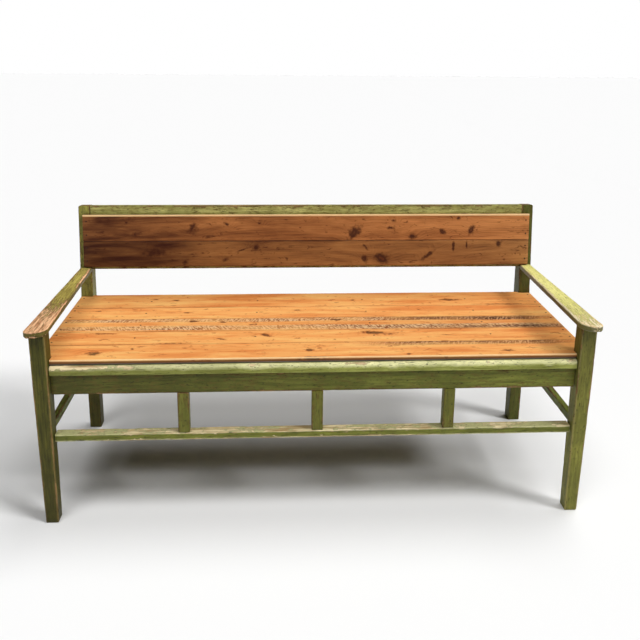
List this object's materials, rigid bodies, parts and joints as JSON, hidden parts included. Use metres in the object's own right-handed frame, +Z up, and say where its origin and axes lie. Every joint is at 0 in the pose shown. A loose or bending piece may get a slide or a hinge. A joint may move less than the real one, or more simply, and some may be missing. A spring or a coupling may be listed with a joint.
{
  "type": "pull-out bench bed",
  "caption": "Painted pine bench with open arms, boarded back and plank seat, whose front slides out on slats and folding legs to make a bed.",
  "frame": {"origin": "on the floor under the middle of the bounding box", "axes": "+X to the viewer's right along the bench, -Y to the front, +Z up"},
  "size_m": [1.6774, 0.6619, 0.8569],
  "materials": {
    "green_paint": "old worn green paint on pine",
    "seat_pine": "waxed pine",
    "back_pine": "dark stained pine",
    "bare_pine": "bare aged pine",
    "iron": "dark wrought iron"
  },
  "bodies": {
    "bench_frame": {"left_front_leg": "green_paint", "right_front_leg": "green_paint", "left_rear_post": "green_paint", "right_rear_post": "green_paint", "left_arm": "green_paint", "right_arm": "green_paint", "left_side_rail": "green_paint", "right_side_rail": "green_paint", "left_side_stretcher": "green_paint", "right_side_stretcher": "green_paint", "left_slide_runner": "bare_pine", "right_slide_runner": "bare_pine", "front_cross_rail": "bare_pine", "rear_seat_rail": "green_paint", "back_top_rail": "green_paint", "back_bottom_rail": "green_paint", "back_board_lower": "back_pine", "back_board_upper": "back_pine", "seat_board_1": "seat_pine", "seat_board_2": "seat_pine", "seat_board_3": "seat_pine", "seat_board_4": "seat_pine", "seat_board_5": "seat_pine", "seat_batten_1": "bare_pine", "seat_batten_2": "bare_pine", "seat_batten_3": "bare_pine", "seat_batten_4": "bare_pine", "side_rail_pegs": "bare_pine", "seat_nails": "iron", "back_nails": "iron"},
    "pull_out_bed": {"front_moulding": "green_paint", "apron": "green_paint", "lower_stretcher": "green_paint", "left_upright": "green_paint", "middle_upright": "green_paint", "right_upright": "green_paint", "bed_slat_1": "bare_pine", "bed_slat_2": "bare_pine", "bed_slat_3": "bare_pine", "bed_slat_4": "bare_pine", "bed_slat_5": "bare_pine", "bed_slat_6": "bare_pine", "bed_slat_7": "bare_pine", "bed_slat_8": "bare_pine", "slide_crossbar": "bare_pine", "upright_pegs": "green_paint", "slat_pegs": "bare_pine", "left_pivot_block": "bare_pine", "right_pivot_block": "bare_pine", "left_pivot_screw": "iron", "right_pivot_screw": "iron", "left_pivot_washer": "iron", "right_pivot_washer": "iron"},
    "left_prop": {"left_prop_leg": "bare_pine"},
    "right_prop": {"right_prop_leg": "bare_pine"}
  },
  "joints": [
    {"name": "bed_slide", "type": "slide", "parent": "bench_frame", "child": "pull_out_bed", "axis": [0, -1, 0], "range_m": [0, 0.41]},
    {"name": "left_prop_swing", "type": "hinge", "parent": "pull_out_bed", "child": "left_prop", "pos_m": [-0.70002, -0.2447, 0.452], "axis": [0, 1, 0], "range_deg": [0, 90]},
    {"name": "right_prop_swing", "type": "hinge", "parent": "pull_out_bed", "child": "right_prop", "pos_m": [0.70002, -0.2447, 0.452], "axis": [0, -1, 0], "range_deg": [0, 90]}
  ]
}
